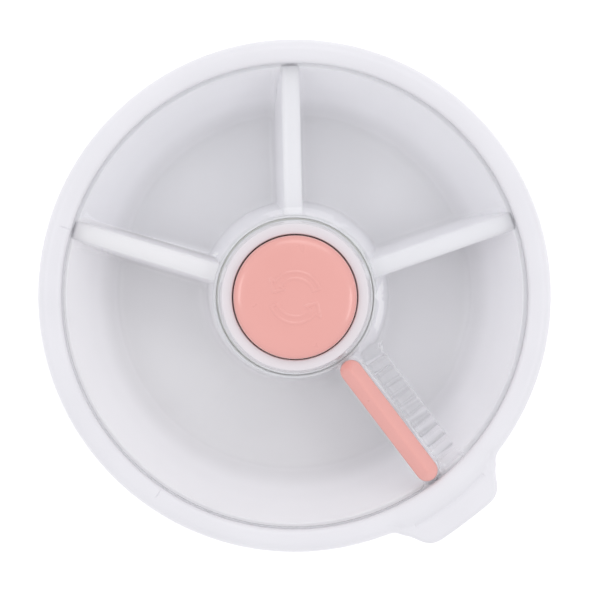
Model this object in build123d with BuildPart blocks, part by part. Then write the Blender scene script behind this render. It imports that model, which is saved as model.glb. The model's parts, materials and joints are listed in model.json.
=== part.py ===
from build123d import *

import os
from math import cos, radians, sin

# Rotary compartment dispenser: a round white case with a lift-out tray, a snap-on lid ring with a
# pull tab, and a clear cover that turns inside the ring. The cover has one open sector, a handle bar
# on the edge of that sector and a push button at its centre that frees it to turn.
# Millimetres. Z is up, the origin is the centre of the resting face, and the tab points along -Y.

os.makedirs("parts", exist_ok=True)

# Angles about Z, in degrees
TAB_ANGLE = -90
STATION_PITCH = 72
STATIONS = 5
DIVIDERS = 4
DIVIDER_ANGLES = [TAB_ANGLE + k * STATION_PITCH for k in range(DIVIDERS)]
FAR_EDGE_ANGLE = DIVIDER_ANGLES[-1]

# Clearances and small edge breaks
SLIDING_GAP = 0.3
SCREW_GAP = 0.2
SMALL_ROUND = 0.5
CUT_MARGIN = 1.0

# Non-slip pad
PAD_R = 52.0
PAD_H = 2.2
PAD_GROOVES = (22.0, 32.0, 42.0)
PAD_GROOVE_W = 1.0
PAD_GROOVE_DEPTH = 0.6

# Outer case
CASE_RIM_R = 85.0
CASE_RIM_Z = 38.2
CASE_WALL = 2.2
CASE_FOOT_Z = 0.8
CASE_FLOOR_R = 62.0
CASE_INNER_FLOOR_R = 63.0
LEDGE_R = 79.8
LEDGE_Z = 36.0
LEDGE_H = 1.6
LEDGE_ROOT = (82.0, 32.0)
CASE_OUTER_PULLS = ((79.2, 2.0), (83.9, 17.0))
CASE_INNER_PULLS = ((81.2, 18.0), (76.0, PAD_H + CASE_WALL))

# Compartment tray
TRAY_WALL = 1.6
TRAY_FLOOR_Z = 8.0
TRAY_FLOOR_R = 61.0
TRAY_UNDER_R = 61.5
TRAY_WALL_PULLS = ((73.5, 24.5), (65.5, 11.5))
TRAY_UNDER_PULLS = ((66.7, 10.4), (75.0, 23.8))
TRAY_RIM_R = 77.8
TRAY_RIM_Z = 37.4
TRAY_FLANGE_R = 82.0
TRAY_RECESS_R = TRAY_FLANGE_R + 0.4
HUB_TOP_Z = 38.8
HUB_TOP_R = 27.2
HUB_FOOT_R = 30.5
HUB_BORE_R = 25.6
HUB_FLOOR_Z = 20.0
HUB_FLOOR_H = 2.0

# Dividers, hollow from below, each a wall along a ray at a station. Seen from the hub, a divider's top is
# crowned, its right side is steep and its left side slopes out to a wider foot.
DIVIDER_TOP_W = 6.4
DIVIDER_CROWN_H = 1.8
DIVIDER_SHOULDER_H = 0.5
DIVIDER_STEEP_FOOT = 0.5
DIVIDER_SLOPED_FOOT = 2.6
DIVIDER_INNER_R = 26.4
DIVIDER_OUTER_R = 80.0
DIVIDER_TOP_END_R = 78.4
DIVIDER_END_FOOT = (79.2, 36.7)
DIVIDER_END_PULLS = ((74.6, 24.2), (66.1, 11.0))
DIVIDER_WALL = 1.7
CORE_START_R = HUB_FOOT_R + 2
CORE_FOOT_R = 59.0
CORE_LOW_Z = 5.0
CORE_TOP_END_R = 75.0
CORE_END = (75.2, 33.4)
CORE_END_PULLS = ((71.0, 22.5), (64.0, 10.5))
FLOOR_RIB_START_R = 36.0
FLOOR_RIB_END_R = 59.0
FLOOR_RIB_W = 0.8
FLOOR_RIB_H = 0.3

# Lid ring
RING_R = 87.5
WINDOW_R = 79.4
RING_TOP_Z = 45.2
RING_SKIRT_Z = 31.0
RING_POCKET_R = 82.6
RING_SEAT_Z = 39.4
RING_LIP_Z = 42.5
RING_LIP_TOP_Z = 43.2
RING_OUTER_Z = 40.5
RING_CROWN_POINTS = ((80.6, 44.5), (83.4, RING_TOP_Z), (86.2, 43.9))
RING_SKIRT_DRAFT = 0.5
SKIRT_BORE_R = CASE_RIM_R + SLIDING_GAP
TAB_REACH = 97.0
TAB_TIP_W = 30.0
TAB_ROOT_W = 36.0
TAB_ROOT_Y = 88.6
TAB_FLARE_W = 45.0
TAB_FLARE_Y = 84.0
TAB_INNER_Y = 80.0
TAB_OVERLAP_R = RING_R - 0.6
TAB_ROOT_R = RING_R - 3.0
TAB_EDGE_ROUND = 1.3
TAB_TIP_ROUND = 3.5
TAB_ROOT_ROUND = 6.0
TAB_TOP_Z = 43.0
TAB_H = 3.6
TAB_GROOVE_R = 88.5
TAB_GROOVE_W = 1.2
TAB_GROOVE_DEPTH = 0.6
TAB_GROOVE_HALF_ANGLE = 9.6

# Retainer ring and seal inside the lid ring
RETAINER_R = 79.8
RETAINER_Z = 38.2
RETAINER_H = 1.9
RETAINER_CHAMFER = 0.4
SEAL_R = 83.0
SEAL_Z = 38.25
SEAL_ROUND = 0.4

# Clear cover
PLATE_Z = 40.4
PLATE_H = 1.8
PLATE_TOP_Z = PLATE_Z + PLATE_H
COVER_R = 82.2
WINDOW_RIM_R = 78.9
WINDOW_HUB_R = 28.0
FAR_EDGE_OFFSET = 5.1
NEAR_EDGE_OFFSET = 3.0
WINDOW_CORNER_R = 2.7
BOSS_R = 27.0
BOSS_BORE_R = 25.2
BOSS_TOP_Z = 46.0
BUTTON_WELL_R = 21.4
STEP_R = 32.8
STEP_H = 0.5

# Handle bar, its socket rim and the grip ribs beside it
BAR_START_R = 27.9
BAR_END_R = 78.0
BAR_W = 7.6
BAR_SIDE_H = 3.0
BAR_ROOF_H = 3.1
BAR_ROOF_SLOPE = 45
BAR_RIM_W = 1.1
BAR_RIM_H = 0.7
RIBS = 11
RIB_PITCH = 4.33
RIB_W = 2.4
RIB_START_R = 32.2
RIB_NEAR_X = 4.9
RIB_FAR_X = 12.9
RIB_H = 1.5
BAR_SCREW_SPACING = 34.0
BAR_SCREW_R = 0.9
BAR_SCREW_HEAD_R = 1.9
BAR_SCREW_HEAD_ANGLE = 41
BAR_SCREW_TOP_Z = 46.0

# Cross slots in the heads of the small screws
SMALL_SLOT_L = 1.7
SMALL_SLOT_W = 0.4
SMALL_SLOT_DEPTH = 0.6

# Hub: collar on top of the cover, spring housing below it, three screws through both
HUB_SCREWS = 3
HUB_SCREW_CIRCLE_R = 23.2
HUB_SCREW_R = 0.8
HUB_SCREW_HEAD_R = 1.4
HUB_SCREW_TOP_Z = 45.0
HUB_SCREW_SINK = 1.5
HOUSING_R = 25.0
HOUSING_Z = 33.0
HOUSING_FLOOR_H = 2.0
HOUSING_STEP_Z = 37.0
HOUSING_BORE_R = 18.4
HOUSING_NECK_R = 10.0
HUB_SEAL_R = 25.15
HUB_SEAL_W = 2.05
HUB_SEAL_Z = 39.1

# Push button and its stem
BUTTON_R = 21.0
BUTTON_SKIRT_Z = 41.2
BUTTON_SHOULDER_Z = 46.8
BUTTON_TOP_Z = 50.8
BUTTON_SHOULDER = (18.6, 49.7)
BUTTON_DOME_PULLS = ((11.0, BUTTON_TOP_Z), (15.5, 50.6))
BUTTON_SHOULDER_PULLS = ((20.3, 49.2), (BUTTON_R, 48.4))
BUTTON_WALL = 1.8
BUTTON_INNER_CORNER_Z = 48.0
BUTTON_BOSS_R = 6.0
STEM_R = 5.0
STEM_Z = 20.0
STEM_FLANGE_R = 17.8
STEM_FLANGE_Z = 44.6
STEM_FLANGE_H = 1.4
STEM_BORE_R = 2.3
STEM_SCREW_SEAT_Z = 41.0
STEM_SCREW_R = 1.1
STEM_SCREW_HEAD_R = 2.1
STEM_SCREW_HEAD_H = 1.6
STEM_SCREW_TOP_Z = 48.0
STEM_SLOT_L = 2.4
STEM_SLOT_W = 0.5
STEM_SLOT_DEPTH = 0.8
DOG_W = 3.0
DOG_R = 8.4
DOG_ROOT = 0.4
DOG_TOP_Z = 23.7
DOG_H = 2.6

# Return spring
SPRING_R = 16.0
SPRING_WIRE_R = 0.5
SPRING_TURNS = 4.5

# Spindle: keyed to the tray's hub, it carries the crown that the button's dogs catch in
SPINDLE_KEY_R = 12.8
SPINDLE_KEY_GAP = 0.4
SPINDLE_Z = 14.0
SPINDLE_CHAMBER_R = 9.0
SPINDLE_CHAMBER_TOP_Z = 27.0
SPINDLE_FLANGE_R = 14.0
SPINDLE_FLANGE_Z = 29.4
SPINDLE_FLANGE_H = 2.8
SPINDLE_BORE_R = 6.0
SPINDLE_NECK_R = 9.9
SPINDLE_TOP_Z = 36.8
WASHER_R = 13.5
WASHER_H = 0.6
CLIP_Z = 35.2
CLIP_H = 0.8
CLIP_SEAT_R = 9.2
CLIP_R = 12.4
CLIP_GAP_W = 10.0
CROWN_Z = 24.0
CROWN_BORE_R = 5.5
NOTCH_W = 3.6
NOTCH_LENGTH = 9.6
NOTCH_DEPTH = 2.4
PLUG_H = 1.5


def revolved_profile(points):
    """Adds a closed straight-sided section, in (radius, height), turned about Z."""
    with BuildSketch(Plane.XZ) as section:
        with BuildLine():
            Polyline(*points, close=True)
        make_face()
    revolve(section.sketch, axis=Axis.Z)


def tube(inner_r, outer_r, low_z, high_z):
    """Adds a plain ring between two radii and two heights."""
    revolved_profile([(inner_r, low_z), (outer_r, low_z), (outer_r, high_z), (inner_r, high_z)])


def finish(piece, label):
    """Names a piece and writes its file."""
    piece.part.label = label
    export_step(piece.part, f"parts/{label}.step")


# ---------------------------------------------------------------- case
with BuildPart() as non_slip_pad:
    with BuildSketch():
        Circle(PAD_R)
    extrude(amount=PAD_H)
    fillet(non_slip_pad.edges().group_by(Axis.Z)[0], SMALL_ROUND)
    with BuildSketch():
        for groove_r in PAD_GROOVES:
            Circle(groove_r + PAD_GROOVE_W)
            Circle(groove_r, mode=Mode.SUBTRACT)
    extrude(amount=PAD_GROOVE_DEPTH, mode=Mode.SUBTRACT)
finish(non_slip_pad, "non_slip_pad")

PAD_RECESS_R = PAD_R + SLIDING_GAP
CASE_INNER_FLOOR_Z = PAD_H + CASE_WALL
with BuildPart() as outer_case:
    with BuildSketch(Plane.XZ):
        with BuildLine():
            Polyline(
                (0, PAD_H),
                (PAD_RECESS_R, PAD_H),
                (PAD_RECESS_R, CASE_FOOT_Z),
                (CASE_FLOOR_R, CASE_FOOT_Z),
            )
            Bezier((CASE_FLOOR_R, CASE_FOOT_Z), *CASE_OUTER_PULLS, (CASE_RIM_R, LEDGE_Z))
            Polyline(
                (CASE_RIM_R, LEDGE_Z),
                (CASE_RIM_R, CASE_RIM_Z),
                (TRAY_RECESS_R, CASE_RIM_Z),
                (TRAY_RECESS_R, LEDGE_Z),
                (LEDGE_R, LEDGE_Z),
                (LEDGE_R, LEDGE_Z - LEDGE_H),
                LEDGE_ROOT,
            )
            Bezier(LEDGE_ROOT, *CASE_INNER_PULLS, (CASE_INNER_FLOOR_R, CASE_INNER_FLOOR_Z))
            Polyline((CASE_INNER_FLOOR_R, CASE_INNER_FLOOR_Z), (0, CASE_INNER_FLOOR_Z), (0, PAD_H))
        make_face()
    revolve(axis=Axis.Z)
    fillet(outer_case.edges().filter_by(GeomType.CIRCLE).group_by(Axis.Z)[-1], SMALL_ROUND)
finish(outer_case, "outer_case")

# ---------------------------------------------------------------- tray
TRAY_UNDER_Z = TRAY_FLOOR_Z - TRAY_WALL
DIVIDER_LOW_Z = TRAY_FLOOR_Z - TRAY_WALL / 2
DIVIDER_LENGTH = DIVIDER_OUTER_R - DIVIDER_INNER_R
CORE_TOP_Z = HUB_TOP_Z - DIVIDER_WALL


def ray(angle):
    """Unit vector in the XY plane at an angle in degrees."""
    return Vector(cos(radians(angle)), sin(radians(angle)), 0)


# Planes across the dividers at the hub: local X runs to the left, local Y up, the normal outwards
divider_planes = [
    Plane(origin=ray(angle) * DIVIDER_INNER_R, x_dir=ray(angle + 90), z_dir=ray(angle))
    for angle in DIVIDER_ANGLES
]

# The space that the dividers fill: inside the bowl, with a slope at the rim
with BuildPart() as divider_space:
    with BuildSketch(Plane.XZ):
        with BuildLine():
            Polyline(
                (TRAY_UNDER_R, DIVIDER_LOW_Z),
                (DIVIDER_INNER_R, DIVIDER_LOW_Z),
                (DIVIDER_INNER_R, HUB_TOP_Z),
                (DIVIDER_TOP_END_R, HUB_TOP_Z),
                DIVIDER_END_FOOT,
            )
            Bezier(DIVIDER_END_FOOT, *DIVIDER_END_PULLS, (TRAY_UNDER_R, DIVIDER_LOW_Z))
        make_face()
    revolve(axis=Axis.Z)

with BuildPart() as divider_walls:
    with BuildSketch(*divider_planes):
        with BuildLine():
            half = DIVIDER_TOP_W / 2
            side_z = HUB_TOP_Z - DIVIDER_CROWN_H
            shoulder_z = HUB_TOP_Z - DIVIDER_SHOULDER_H
            Polyline(
                (half, side_z),
                (half + DIVIDER_SLOPED_FOOT, TRAY_UNDER_Z),
                (-half - DIVIDER_STEEP_FOOT, TRAY_UNDER_Z),
                (-half, side_z),
            )
            Bezier((-half, side_z), (-half, shoulder_z), (-half / 2, HUB_TOP_Z), (0, HUB_TOP_Z))
            Bezier((0, HUB_TOP_Z), (half / 2, HUB_TOP_Z), (half, shoulder_z), (half, side_z))
        make_face()
    extrude(amount=DIVIDER_LENGTH)
    add(divider_space.part, mode=Mode.INTERSECT)

# Hollow cores that keep the dividers' walls about as thin as the rest of the tray
with BuildPart() as core_space:
    with BuildSketch(Plane.XZ):
        with BuildLine():
            Polyline(
                (CORE_FOOT_R, CORE_LOW_Z),
                (CORE_START_R, CORE_LOW_Z),
                (CORE_START_R, CORE_TOP_Z),
                (CORE_TOP_END_R, CORE_TOP_Z),
                CORE_END,
            )
            Bezier(CORE_END, *CORE_END_PULLS, (CORE_FOOT_R, CORE_LOW_Z))
        make_face()
    revolve(axis=Axis.Z)

with BuildPart() as divider_cores:
    with BuildSketch(*divider_planes):
        core_half = DIVIDER_TOP_W / 2 - DIVIDER_WALL
        Polygon(
            (core_half, CORE_TOP_Z),
            (core_half + DIVIDER_SLOPED_FOOT, CORE_LOW_Z),
            (-core_half - DIVIDER_STEEP_FOOT, CORE_LOW_Z),
            (-core_half, CORE_TOP_Z),
            align=None,
        )
    extrude(amount=DIVIDER_LENGTH)
    add(core_space.part, mode=Mode.INTERSECT)

HUB_WALL_SLOPE = (HUB_FOOT_R - HUB_TOP_R) / (HUB_TOP_Z - TRAY_FLOOR_Z)
HUB_FLOOR_TOP_Z = HUB_FLOOR_Z + HUB_FLOOR_H


def hub_bore_r(z):
    """Radius of the hub's inner wall at a height."""
    return HUB_BORE_R + (HUB_TOP_Z - z) * HUB_WALL_SLOPE


with BuildPart() as compartment_tray:
    with BuildSketch(Plane.XZ):
        with BuildLine():
            Polyline(
                (TRAY_FLOOR_R, TRAY_FLOOR_Z),
                (HUB_FOOT_R, TRAY_FLOOR_Z),
                (HUB_TOP_R, HUB_TOP_Z),
                (HUB_BORE_R, HUB_TOP_Z),
                (hub_bore_r(HUB_FLOOR_TOP_Z), HUB_FLOOR_TOP_Z),
                (0, HUB_FLOOR_TOP_Z),
                (0, HUB_FLOOR_Z),
                (hub_bore_r(HUB_FLOOR_Z), HUB_FLOOR_Z),
                (hub_bore_r(TRAY_UNDER_Z), TRAY_UNDER_Z),
                (TRAY_UNDER_R, TRAY_UNDER_Z),
            )
            Bezier((TRAY_UNDER_R, TRAY_UNDER_Z), *TRAY_UNDER_PULLS, (TRAY_RIM_R + TRAY_WALL, LEDGE_Z))
            Polyline(
                (TRAY_RIM_R + TRAY_WALL, LEDGE_Z),
                (TRAY_FLANGE_R, LEDGE_Z),
                (TRAY_FLANGE_R, TRAY_RIM_Z),
                (TRAY_RIM_R, TRAY_RIM_Z),
            )
            Bezier((TRAY_RIM_R, TRAY_RIM_Z), *TRAY_WALL_PULLS, (TRAY_FLOOR_R, TRAY_FLOOR_Z))
        make_face()
    revolve(axis=Axis.Z)
    add(divider_walls.part)
    add(divider_cores.part, mode=Mode.SUBTRACT)
    with BuildSketch(Plane.XY.offset(HUB_FLOOR_Z - CUT_MARGIN)):
        RegularPolygon(SPINDLE_KEY_R + SPINDLE_KEY_GAP, STATIONS, rotation=TAB_ANGLE)
    extrude(amount=HUB_FLOOR_H + 2 * CUT_MARGIN, mode=Mode.SUBTRACT)
    # Low rib across the floor of the widest compartment
    with BuildSketch(Plane.XY.offset(TRAY_FLOOR_Z)):
        with PolarLocations((FLOOR_RIB_START_R + FLOOR_RIB_END_R) / 2, 1, TAB_ANGLE - STATION_PITCH):
            Rectangle(FLOOR_RIB_END_R - FLOOR_RIB_START_R, FLOOR_RIB_W)
    extrude(amount=FLOOR_RIB_H)
finish(compartment_tray, "compartment_tray")

# ---------------------------------------------------------------- lid ring, retainer and seal
with BuildPart() as lid_ring:
    with BuildSketch(Plane.XZ):
        with BuildLine():
            Line((WINDOW_R, RING_LIP_Z), (WINDOW_R, RING_LIP_TOP_Z))
            Spline(
                (WINDOW_R, RING_LIP_TOP_Z),
                *RING_CROWN_POINTS,
                (RING_R, RING_OUTER_Z),
                tangents=((0, 1), (0, -1)),
            )
            Polyline(
                (RING_R, RING_OUTER_Z),
                (RING_R - RING_SKIRT_DRAFT, RING_SKIRT_Z),
                (SKIRT_BORE_R, RING_SKIRT_Z),
                (SKIRT_BORE_R, RING_SEAT_Z),
                (RING_POCKET_R, RING_SEAT_Z),
                (RING_POCKET_R, RING_LIP_Z),
                (WINDOW_R, RING_LIP_Z),
            )
        make_face()
    revolve(axis=Axis.Z)
    fillet(lid_ring.edges().filter_by(GeomType.CIRCLE).group_by(Axis.Z)[0], SMALL_ROUND)
    # Pull tab: it starts inside the ring's section and flares into the ring's outer face
    with BuildSketch(Plane.XY.offset(TAB_TOP_Z - TAB_H)) as tab_outline:
        Circle(TAB_OVERLAP_R)
        with BuildLine():
            Polyline(
                (-TAB_FLARE_W / 2, -TAB_INNER_Y),
                (-TAB_FLARE_W / 2, -TAB_FLARE_Y),
                (-TAB_ROOT_W / 2, -TAB_ROOT_Y),
                (-TAB_TIP_W / 2, -TAB_REACH),
                (TAB_TIP_W / 2, -TAB_REACH),
                (TAB_ROOT_W / 2, -TAB_ROOT_Y),
                (TAB_FLARE_W / 2, -TAB_FLARE_Y),
                (TAB_FLARE_W / 2, -TAB_INNER_Y),
                close=True,
            )
        make_face()
        tips = tab_outline.vertices().filter_by(lambda corner: abs(corner.Y + TAB_REACH) < 0.1)
        fillet(tips, TAB_TIP_ROUND)
        roots = tab_outline.vertices().filter_by(lambda corner: abs(corner.Y + TAB_ROOT_Y) < 0.1)
        fillet(roots, TAB_ROOT_ROUND)
        Circle(TAB_ROOT_R, mode=Mode.SUBTRACT)
        with Locations((0, -RING_R)):
            Rectangle(2 * TAB_FLARE_W, TAB_FLARE_W / 2, mode=Mode.INTERSECT)
    extrude(amount=TAB_H)
    tab_edges = lid_ring.edges().filter_by_position(Axis.Y, -TAB_REACH - 1, -RING_R - 0.5)
    fillet(tab_edges.group_by(Axis.Z)[-1], TAB_EDGE_ROUND)
    with BuildSketch(Plane.XY.offset(TAB_TOP_Z - TAB_GROOVE_DEPTH)):
        with BuildLine():
            CenterArc((0, 0), TAB_GROOVE_R, TAB_ANGLE - TAB_GROOVE_HALF_ANGLE, 2 * TAB_GROOVE_HALF_ANGLE)
        trace(line_width=TAB_GROOVE_W)
    extrude(amount=TAB_H, mode=Mode.SUBTRACT)
finish(lid_ring, "lid_ring")

with BuildPart() as cover_retainer:
    tube(RETAINER_R, RING_POCKET_R, RETAINER_Z, RETAINER_Z + RETAINER_H)
    chamfer(cover_retainer.edges().group_by(Axis.Z)[-1].sort_by(SortBy.RADIUS)[0], RETAINER_CHAMFER)
finish(cover_retainer, "cover_retainer")

with BuildPart() as lid_seal:
    tube(SEAL_R, CASE_RIM_R, SEAL_Z, RING_SEAT_Z)
    fillet(lid_seal.edges().group_by(Axis.Z)[0], SEAL_ROUND)
finish(lid_seal, "lid_seal")

# ---------------------------------------------------------------- clear cover
# The open sector lies between two straight edges, each parallel to a divider and set off from it.
far_ray = ray(FAR_EDGE_ANGLE)
near_ray = ray(TAB_ANGLE)
far_normal = Vector(-far_ray.Y, far_ray.X, 0)
apex_x = -NEAR_EDGE_OFFSET
apex_y = (-FAR_EDGE_OFFSET - apex_x * far_normal.X) / far_normal.Y
apex = Vector(apex_x, apex_y, 0)
WEDGE_REACH = 150

with BuildSketch() as window_wedge:
    with BuildLine():
        Polyline(
            apex,
            apex + far_ray * WEDGE_REACH,
            apex + ray(TAB_ANGLE - STATION_PITCH) * 2 * WEDGE_REACH,
            apex + near_ray * WEDGE_REACH,
            close=True,
        )
    make_face()

with BuildSketch() as window:
    Circle(WINDOW_RIM_R)
    Circle(WINDOW_HUB_R, mode=Mode.SUBTRACT)
    add(window_wedge.sketch, mode=Mode.INTERSECT)
    fillet(window.vertices(), WINDOW_CORNER_R)

BAR_LENGTH = BAR_END_R - BAR_START_R
BAR_MID_R = (BAR_START_R + BAR_END_R) / 2

with BuildPart() as clear_cover:
    with BuildSketch(Plane.XY.offset(PLATE_Z)):
        Circle(COVER_R)
        Circle(BUTTON_WELL_R, mode=Mode.SUBTRACT)
        add(window.sketch, mode=Mode.SUBTRACT)
    extrude(amount=PLATE_H)
    # Boss that holds the collar
    tube(BOSS_BORE_R, BOSS_R, PLATE_TOP_Z, BOSS_TOP_Z)
    # Low step round the boss on the covered side
    with BuildSketch(Plane.XY.offset(PLATE_TOP_Z)):
        Circle(STEP_R)
        Circle(BOSS_R, mode=Mode.SUBTRACT)
        add(window_wedge.sketch, mode=Mode.SUBTRACT)
    extrude(amount=STEP_H)
    # Rim of the bar's socket
    with BuildSketch(Plane.XY.offset(PLATE_TOP_Z)):
        with Locations((0, -BAR_MID_R)):
            SlotOverall(BAR_LENGTH + 2 * SLIDING_GAP, BAR_W + 2 * BAR_RIM_W, rotation=90)
        with Locations((BAR_W / 2 + BAR_RIM_W - NEAR_EDGE_OFFSET, -BAR_MID_R)):
            Rectangle(BAR_W + 2 * BAR_RIM_W, 2 * BAR_LENGTH, mode=Mode.INTERSECT)
        Circle(BOSS_R, mode=Mode.SUBTRACT)
    extrude(amount=BAR_RIM_H)
    with BuildSketch(Plane.XY.offset(PLATE_TOP_Z)):
        with Locations((0, -BAR_MID_R)):
            SlotOverall(BAR_LENGTH, BAR_W, rotation=90)
        Circle(BOSS_R, mode=Mode.SUBTRACT)
    extrude(amount=BAR_RIM_H + STEP_H, mode=Mode.SUBTRACT)
    # Grip ribs
    with BuildSketch(Plane.XY.offset(PLATE_TOP_Z)):
        for rib in range(RIBS):
            with Locations(((RIB_NEAR_X + RIB_FAR_X) / 2, -RIB_START_R - rib * RIB_PITCH)):
                RectangleRounded(RIB_FAR_X - RIB_NEAR_X, RIB_W, RIB_W / 3)
    extrude(amount=RIB_H)
    # Screw holes
    with BuildSketch(Plane.XY.offset(PLATE_Z)):
        with PolarLocations(HUB_SCREW_CIRCLE_R, HUB_SCREWS, TAB_ANGLE):
            Circle(HUB_SCREW_R + SCREW_GAP)
    extrude(amount=PLATE_H, mode=Mode.SUBTRACT)
    with Locations(Location((0, -BAR_MID_R, PLATE_Z), (180, 0, 0))):
        with GridLocations(1, BAR_SCREW_SPACING, 1, 2):
            CounterSinkHole(BAR_SCREW_R, BAR_SCREW_HEAD_R, depth=PLATE_H)
finish(clear_cover, "clear_cover")

# ---------------------------------------------------------------- handle bar
with BuildPart() as handle_bar:
    with BuildSketch(Plane.XY.offset(PLATE_TOP_Z)):
        with Locations((0, -BAR_MID_R)):
            SlotOverall(BAR_LENGTH, BAR_W, rotation=90)
    extrude(amount=BAR_SIDE_H)
    with BuildSketch(Plane.XY.offset(PLATE_TOP_Z + BAR_SIDE_H)):
        with Locations((0, -BAR_MID_R)):
            SlotOverall(BAR_LENGTH, BAR_W, rotation=90)
    extrude(amount=BAR_ROOF_H, taper=BAR_ROOF_SLOPE)
    with BuildSketch(Plane.XY.offset(PLATE_TOP_Z)):
        with Locations((0, -BAR_MID_R)):
            with GridLocations(1, BAR_SCREW_SPACING, 1, 2):
                Circle(BAR_SCREW_R)
    extrude(amount=BAR_SCREW_TOP_Z - PLATE_TOP_Z, mode=Mode.SUBTRACT)
finish(handle_bar, "handle_bar")

with BuildPart() as handle_screws:
    with BuildSketch(Plane.XY.offset(PLATE_Z)):
        with Locations((0, -BAR_MID_R)):
            with GridLocations(1, BAR_SCREW_SPACING, 1, 2):
                Circle(BAR_SCREW_R)
    extrude(amount=BAR_SCREW_TOP_Z - PLATE_Z)
    with BuildSketch(Plane.XY.offset(PLATE_Z)):
        with Locations((0, -BAR_MID_R)):
            with GridLocations(1, BAR_SCREW_SPACING, 1, 2):
                Circle(BAR_SCREW_HEAD_R)
    extrude(amount=BAR_SCREW_HEAD_R - BAR_SCREW_R, taper=BAR_SCREW_HEAD_ANGLE)
    with BuildSketch(Plane.XY.offset(PLATE_Z)):
        with Locations((0, -BAR_MID_R)):
            with GridLocations(1, BAR_SCREW_SPACING, 1, 2):
                Rectangle(SMALL_SLOT_L, SMALL_SLOT_W)
                Rectangle(SMALL_SLOT_W, SMALL_SLOT_L)
    extrude(amount=SMALL_SLOT_DEPTH, mode=Mode.SUBTRACT)
finish(handle_screws, "handle_screws")

# ---------------------------------------------------------------- hub
with BuildPart() as hub_collar:
    tube(BUTTON_WELL_R, BOSS_BORE_R, PLATE_TOP_Z, BOSS_TOP_Z)
    fillet(hub_collar.edges().group_by(Axis.Z)[-1], SMALL_ROUND)
    with BuildSketch(Plane.XY.offset(PLATE_TOP_Z)):
        with PolarLocations(HUB_SCREW_CIRCLE_R, HUB_SCREWS, TAB_ANGLE):
            Circle(HUB_SCREW_R)
    extrude(amount=HUB_SCREW_TOP_Z - PLATE_TOP_Z, mode=Mode.SUBTRACT)
finish(hub_collar, "hub_collar")

HUB_SCREW_HEAD_Z = HOUSING_Z + SLIDING_GAP
HUB_SCREW_SEAT_Z = HOUSING_Z + HUB_SCREW_SINK
with BuildPart() as spring_housing:
    revolved_profile(
        [
            (HOUSING_NECK_R, HOUSING_Z),
            (HOUSING_R, HOUSING_Z),
            (HOUSING_R, PLATE_Z),
            (BUTTON_WELL_R, PLATE_Z),
            (BUTTON_WELL_R, HOUSING_STEP_Z),
            (HOUSING_BORE_R, HOUSING_STEP_Z),
            (HOUSING_BORE_R, HOUSING_Z + HOUSING_FLOOR_H),
            (HOUSING_NECK_R, HOUSING_Z + HOUSING_FLOOR_H),
        ]
    )
    with BuildSketch(Plane.XY.offset(HOUSING_Z)):
        with PolarLocations(HUB_SCREW_CIRCLE_R, HUB_SCREWS, TAB_ANGLE):
            Circle(HUB_SCREW_R + SCREW_GAP)
    extrude(amount=PLATE_Z - HOUSING_Z, mode=Mode.SUBTRACT)
    with BuildSketch(Plane.XY.offset(HOUSING_Z)):
        with PolarLocations(HUB_SCREW_CIRCLE_R, HUB_SCREWS, TAB_ANGLE):
            Circle(HUB_SCREW_HEAD_R + SCREW_GAP / 2)
    extrude(amount=HUB_SCREW_SEAT_Z - HOUSING_Z, mode=Mode.SUBTRACT)
finish(spring_housing, "spring_housing")

with BuildPart() as hub_screws:
    with BuildSketch(Plane.XY.offset(HUB_SCREW_HEAD_Z)):
        with PolarLocations(HUB_SCREW_CIRCLE_R, HUB_SCREWS, TAB_ANGLE):
            Circle(HUB_SCREW_R)
    extrude(amount=HUB_SCREW_TOP_Z - HUB_SCREW_HEAD_Z)
    with BuildSketch(Plane.XY.offset(HUB_SCREW_HEAD_Z)):
        with PolarLocations(HUB_SCREW_CIRCLE_R, HUB_SCREWS, TAB_ANGLE):
            Circle(HUB_SCREW_HEAD_R)
    extrude(amount=HUB_SCREW_SEAT_Z - HUB_SCREW_HEAD_Z)
    with BuildSketch(Plane.XY.offset(HUB_SCREW_HEAD_Z)):
        with PolarLocations(HUB_SCREW_CIRCLE_R, HUB_SCREWS, TAB_ANGLE):
            Rectangle(SMALL_SLOT_L, SMALL_SLOT_W)
            Rectangle(SMALL_SLOT_W, SMALL_SLOT_L)
    extrude(amount=SMALL_SLOT_DEPTH, mode=Mode.SUBTRACT)
finish(hub_screws, "hub_screws")

with BuildPart() as hub_seal:
    tube(HUB_SEAL_R, HUB_SEAL_R + HUB_SEAL_W, HUB_SEAL_Z, PLATE_Z)
    fillet(hub_seal.edges().group_by(Axis.Z)[0], SEAL_ROUND)
finish(hub_seal, "hub_seal")

# ---------------------------------------------------------------- push button
with BuildPart() as push_button:
    with BuildSketch(Plane.XZ):
        with BuildLine():
            Polyline(
                (BUTTON_BOSS_R, STEM_FLANGE_Z + STEM_FLANGE_H),
                (0, STEM_FLANGE_Z + STEM_FLANGE_H),
                (0, BUTTON_TOP_Z),
            )
            Bezier((0, BUTTON_TOP_Z), *BUTTON_DOME_PULLS, BUTTON_SHOULDER)
            Bezier(BUTTON_SHOULDER, *BUTTON_SHOULDER_PULLS, (BUTTON_R, BUTTON_SHOULDER_Z))
            Polyline(
                (BUTTON_R, BUTTON_SHOULDER_Z),
                (BUTTON_R, BUTTON_SKIRT_Z),
                (BUTTON_R - BUTTON_WALL, BUTTON_SKIRT_Z),
                (BUTTON_R - BUTTON_WALL, BUTTON_SHOULDER_Z),
                (BUTTON_R - 2 * BUTTON_WALL, BUTTON_INNER_CORNER_Z),
                (BUTTON_BOSS_R, BUTTON_TOP_Z - BUTTON_WALL),
                (BUTTON_BOSS_R, STEM_FLANGE_Z + STEM_FLANGE_H),
            )
        make_face()
    revolve(axis=Axis.Z)
    with BuildSketch(Plane.XY.offset(STEM_FLANGE_Z + STEM_FLANGE_H)):
        Circle(STEM_SCREW_R)
    extrude(amount=STEM_SCREW_TOP_Z - STEM_FLANGE_Z - STEM_FLANGE_H, mode=Mode.SUBTRACT)
finish(push_button, "push_button")

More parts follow.
